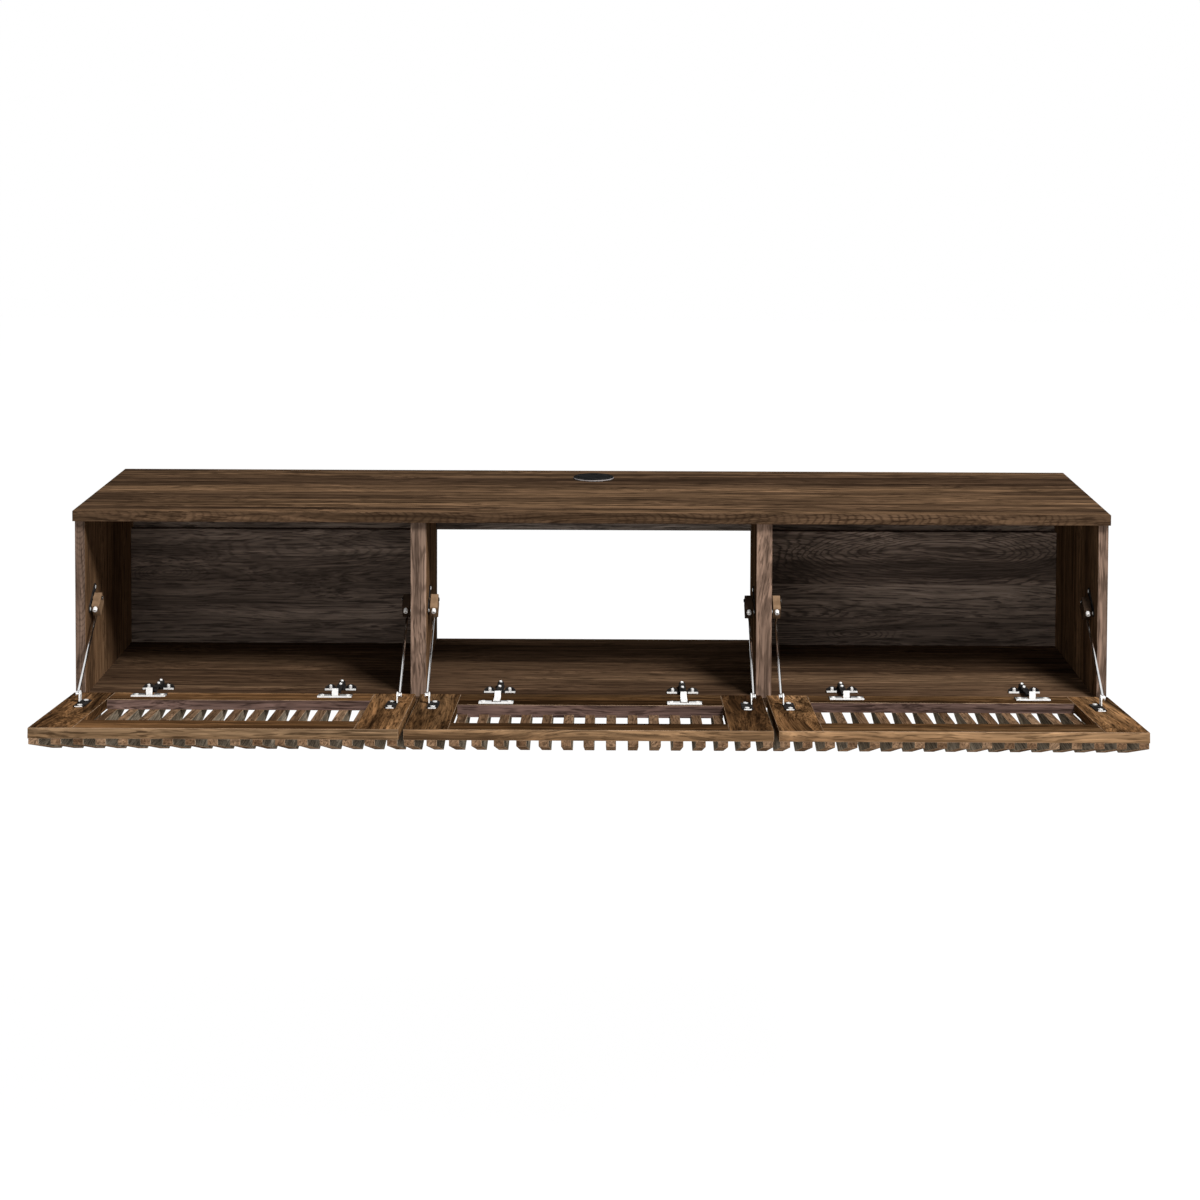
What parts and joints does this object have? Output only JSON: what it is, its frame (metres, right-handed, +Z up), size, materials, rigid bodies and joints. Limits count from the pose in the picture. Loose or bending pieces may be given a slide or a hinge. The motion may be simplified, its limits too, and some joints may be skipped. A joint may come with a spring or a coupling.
{
  "type": "wall-hung media console",
  "caption": "Long wall-hung media console in walnut-look board with drop-down slatted doors on friction stays, an open-backed middle bay and a cable grommet in the top.",
  "frame": {"origin": "middle of the back face of the centre hanging rail, on the wall plane", "axes": "+X to the right seen from the front, +Y into the wall, +Z up; the front faces -Y"},
  "size_m": [1.65, 0.6885, 0.3408],
  "materials": {
    "walnut": "satin walnut laminate, grain along the length",
    "walnut_dark": "satin walnut laminate, darker inner boards",
    "walnut_door": "satin walnut, doors and slats",
    "chrome": "bright nickel",
    "nickel_steel": "nickel-plated sheet",
    "black_plastic": "matte",
    "tan_plastic": "matte moulded"
  },
  "bodies": {
    "cabinet": {"top_panel": "walnut", "bottom_panel": "walnut", "left_side_panel": "walnut", "right_side_panel": "walnut", "left_divider": "walnut", "right_divider": "walnut", "left_back_panel": "walnut_dark", "right_back_panel": "walnut_dark", "left_hanging_rail": "walnut_dark", "centre_hanging_rail": "walnut_dark", "right_hanging_rail": "walnut_dark", "cable_grommet": "black_plastic", "left_left_hinge_arm": "chrome", "left_left_stay_mount": "nickel_steel", "left_right_hinge_arm": "chrome", "left_right_stay_mount": "nickel_steel", "centre_left_hinge_arm": "chrome", "centre_left_stay_mount": "nickel_steel", "centre_right_hinge_arm": "chrome", "centre_right_stay_mount": "nickel_steel", "right_left_hinge_arm": "chrome", "right_left_stay_mount": "nickel_steel", "right_right_hinge_arm": "chrome", "right_right_stay_mount": "nickel_steel"},
    "cap": {"grommet_cap": "black_plastic"},
    "left_door": {"left_door_left_stile": "walnut_door", "left_door_right_stile": "walnut_door", "left_door_grille": "walnut_door", "left_door_left_hinge_cup": "chrome", "left_door_left_stay_bracket": "nickel_steel", "left_door_right_hinge_cup": "chrome", "left_door_right_stay_bracket": "nickel_steel"},
    "left_left_rod": {"left_left_stay_rod": "chrome"},
    "left_left_guide": {"left_left_stay_guide": "tan_plastic"},
    "left_right_rod": {"left_right_stay_rod": "chrome"},
    "left_right_guide": {"left_right_stay_guide": "tan_plastic"},
    "centre_door": {"centre_door_left_stile": "walnut_door", "centre_door_right_stile": "walnut_door", "centre_door_grille": "walnut_door", "centre_door_left_hinge_cup": "chrome", "centre_door_left_stay_bracket": "nickel_steel", "centre_door_right_hinge_cup": "chrome", "centre_door_right_stay_bracket": "nickel_steel"},
    "centre_left_rod": {"centre_left_stay_rod": "chrome"},
    "centre_left_guide": {"centre_left_stay_guide": "tan_plastic"},
    "centre_right_rod": {"centre_right_stay_rod": "chrome"},
    "centre_right_guide": {"centre_right_stay_guide": "tan_plastic"},
    "right_door": {"right_door_left_stile": "walnut_door", "right_door_right_stile": "walnut_door", "right_door_grille": "walnut_door", "right_door_left_hinge_cup": "chrome", "right_door_left_stay_bracket": "nickel_steel", "right_door_right_hinge_cup": "chrome", "right_door_right_stay_bracket": "nickel_steel"},
    "right_left_rod": {"right_left_stay_rod": "chrome"},
    "right_left_guide": {"right_left_stay_guide": "tan_plastic"},
    "right_right_rod": {"right_right_stay_rod": "chrome"},
    "right_right_guide": {"right_right_stay_guide": "tan_plastic"}
  },
  "joints": [
    {"name": "cap_lift", "type": "slide", "parent": "cabinet", "child": "cap", "axis": [0, 0, 1], "range_m": [0, 0.03]},
    {"name": "left_door_hinge", "type": "hinge", "parent": "cabinet", "child": "left_door", "pos_m": [-0.5515, -0.402, -0.2479], "axis": [-1, 0, 0], "range_deg": [0, 84.9]},
    {"name": "left_left_rod_pivot", "type": "hinge", "parent": "left_door", "child": "left_left_rod", "pos_m": [-0.7985, -0.47504, -0.21247], "axis": [1, 0, 0], "range_deg": [0, 105.4]},
    {"name": "left_left_guide_slide", "type": "slide", "parent": "left_left_rod", "child": "left_left_guide", "axis": [0, -0.8021, -0.5971], "range_m": [0, 0.0964]},
    {"name": "left_right_rod_pivot", "type": "hinge", "parent": "left_door", "child": "left_right_rod", "pos_m": [-0.29725, -0.47504, -0.21247], "axis": [1, 0, 0], "range_deg": [0, 105.4]},
    {"name": "left_right_guide_slide", "type": "slide", "parent": "left_right_rod", "child": "left_right_guide", "axis": [0, -0.8021, -0.5971], "range_m": [0, 0.0964]},
    {"name": "centre_door_hinge", "type": "hinge", "parent": "cabinet", "child": "centre_door", "pos_m": [0, -0.402, -0.2479], "axis": [-1, 0, 0], "range_deg": [0, 84.9]},
    {"name": "centre_left_rod_pivot", "type": "hinge", "parent": "centre_door", "child": "centre_left_rod", "pos_m": [-0.25425, -0.47504, -0.21247], "axis": [1, 0, 0], "range_deg": [0, 105.4]},
    {"name": "centre_left_guide_slide", "type": "slide", "parent": "centre_left_rod", "child": "centre_left_guide", "axis": [0, -0.8021, -0.5971], "range_m": [0, 0.0964]},
    {"name": "centre_right_rod_pivot", "type": "hinge", "parent": "centre_door", "child": "centre_right_rod", "pos_m": [0.25425, -0.47504, -0.21247], "axis": [1, 0, 0], "range_deg": [0, 105.4]},
    {"name": "centre_right_guide_slide", "type": "slide", "parent": "centre_right_rod", "child": "centre_right_guide", "axis": [0, -0.8021, -0.5971], "range_m": [0, 0.0964]},
    {"name": "right_door_hinge", "type": "hinge", "parent": "cabinet", "child": "right_door", "pos_m": [0.5515, -0.402, -0.2479], "axis": [-1, 0, 0], "range_deg": [0, 84.9]},
    {"name": "right_left_rod_pivot", "type": "hinge", "parent": "right_door", "child": "right_left_rod", "pos_m": [0.29725, -0.47504, -0.21247], "axis": [1, 0, 0], "range_deg": [0, 105.4]},
    {"name": "right_left_guide_slide", "type": "slide", "parent": "right_left_rod", "child": "right_left_guide", "axis": [0, -0.8021, -0.5971], "range_m": [0, 0.0964]},
    {"name": "right_right_rod_pivot", "type": "hinge", "parent": "right_door", "child": "right_right_rod", "pos_m": [0.7985, -0.47504, -0.21247], "axis": [1, 0, 0], "range_deg": [0, 105.4]},
    {"name": "right_right_guide_slide", "type": "slide", "parent": "right_right_rod", "child": "right_right_guide", "axis": [0, -0.8021, -0.5971], "range_m": [0, 0.0964]}
  ],
  "couplings": [
    {"joint": "left_left_rod_pivot", "follows": "left_door_hinge", "ratio": 1.2356},
    {"joint": "left_left_guide_slide", "follows": "left_door_hinge", "m_per_rad": 0.06473},
    {"joint": "left_right_rod_pivot", "follows": "left_door_hinge", "ratio": 1.2356},
    {"joint": "left_right_guide_slide", "follows": "left_door_hinge", "m_per_rad": 0.06473},
    {"joint": "centre_left_rod_pivot", "follows": "centre_door_hinge", "ratio": 1.2356},
    {"joint": "centre_left_guide_slide", "follows": "centre_door_hinge", "m_per_rad": 0.06473},
    {"joint": "centre_right_rod_pivot", "follows": "centre_door_hinge", "ratio": 1.2356},
    {"joint": "centre_right_guide_slide", "follows": "centre_door_hinge", "m_per_rad": 0.06473},
    {"joint": "right_left_rod_pivot", "follows": "right_door_hinge", "ratio": 1.2356},
    {"joint": "right_left_guide_slide", "follows": "right_door_hinge", "m_per_rad": 0.06473},
    {"joint": "right_right_rod_pivot", "follows": "right_door_hinge", "ratio": 1.2356},
    {"joint": "right_right_guide_slide", "follows": "right_door_hinge", "m_per_rad": 0.06473}
  ]
}
